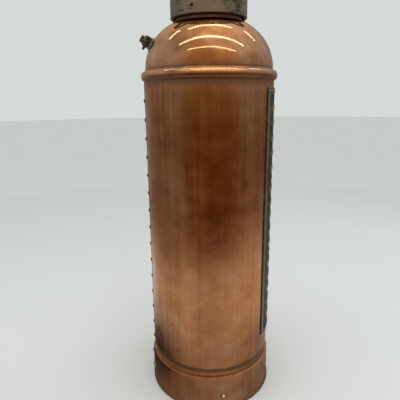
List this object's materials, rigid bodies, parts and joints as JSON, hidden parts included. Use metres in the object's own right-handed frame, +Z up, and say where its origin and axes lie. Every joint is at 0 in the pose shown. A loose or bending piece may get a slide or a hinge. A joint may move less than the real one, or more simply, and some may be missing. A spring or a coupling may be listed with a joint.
{
  "type": "soda-acid fire extinguisher",
  "caption": "Riveted copper fire extinguisher tank with a domed head, a brass screw cap, a hose outlet and an acid bottle hanging in a cage inside.",
  "frame": {"origin": "on the floor, at the centre of the foot ring", "axes": "+Z up the tank's axis; -X towards the riveted seam and the hose outlet above it; +X towards the name plate; -Y towards the plain front of the tank"},
  "size_m": [0.1869, 0.1864, 0.609],
  "materials": {
    "copper_sheet": "polished old copper under clear lacquer, brown where it has toned",
    "copper_rivets": "copper rivet heads, worn bright on top",
    "iron_wire": "plain iron wire",
    "foot_rivet_brass": "round brass rivet heads, rubbed bright",
    "soft_solder": "dull grey soft solder",
    "toned_brass": "cast brass toned brown and green, unpolished",
    "plate_brass": "stamped brass gone grey-green",
    "dark_brass": "nearly black old brass fittings",
    "cage_brass": "plain yellow brass strip",
    "leather": "oiled leather washer",
    "bottle_glass": "pale green pressed glass",
    "lead": "soft grey lead",
    "black_rubber": "black rubber, dull"
  },
  "bodies": {
    "vessel": {"shell": "copper_sheet", "seam_rivets": "copper_rivets", "foot_wire": "iron_wire", "foot_rivets": "foot_rivet_brass", "bottom_head": "copper_sheet", "top_dome": "copper_sheet", "bead_solder": "soft_solder", "neck_collar": "toned_brass", "neck_solder": "soft_solder", "name_plate": "plate_brass", "outlet_boss": "toned_brass", "outlet_solder": "soft_solder", "outlet_nipple": "toned_brass", "outlet_strainer": "cage_brass"},
    "hose_fitting": {"hose_tail": "dark_brass", "hose_washer": "leather"},
    "coupling": {"coupling_nut": "dark_brass"},
    "cage": {"cage_ring": "cage_brass", "cage_straps": "cage_brass", "cage_cup": "cage_brass", "cage_rivets": "copper_rivets"},
    "bottle": {"acid_bottle": "bottle_glass"},
    "stopper": {"bottle_stopper": "lead"},
    "gasket": {"cap_gasket": "black_rubber"},
    "washer": {"gasket_washer": "toned_brass"},
    "screw_cap": {"cap": "toned_brass"}
  },
  "joints": [
    {"name": "cage_lift", "type": "slide", "parent": "vessel", "child": "cage", "axis": [0, 0, 1], "range_m": [0, 0.18]},
    {"name": "bottle_lift", "type": "slide", "parent": "cage", "child": "bottle", "axis": [0, 0, 1], "range_m": [0, 0.17]},
    {"name": "stopper_lift", "type": "slide", "parent": "bottle", "child": "stopper", "axis": [0, 0, 1], "range_m": [0, 0.012]},
    {"name": "cap_off", "type": "slide", "parent": "bottle", "child": "gasket", "axis": [0, 0, 1], "range_m": [0, 0.09]},
    {"name": "cap_rise", "type": "slide", "parent": "gasket", "child": "washer", "axis": [0, 0, 1], "range_m": [0, 0.012]},
    {"name": "cap_turn", "type": "hinge", "parent": "washer", "child": "screw_cap", "pos_m": [0, 0, 0.55], "axis": [0, 0, 1], "range_deg": [0, 1440]},
    {"name": "coupling_travel", "type": "slide", "parent": "vessel", "child": "hose_fitting", "axis": [-0.866, 0, 0.5], "range_m": [0, 0.0045]},
    {"name": "coupling_turn", "type": "hinge", "parent": "hose_fitting", "child": "coupling", "pos_m": [-0.08429, 0, 0.512], "axis": [-0.866, 0, 0.5], "range_deg": [0, 1080]}
  ],
  "couplings": [
    {"joint": "cap_rise", "follows": "cap_turn", "m_per_rad": 0.000477},
    {"joint": "coupling_travel", "follows": "coupling_turn", "m_per_rad": 0.0002386}
  ]
}
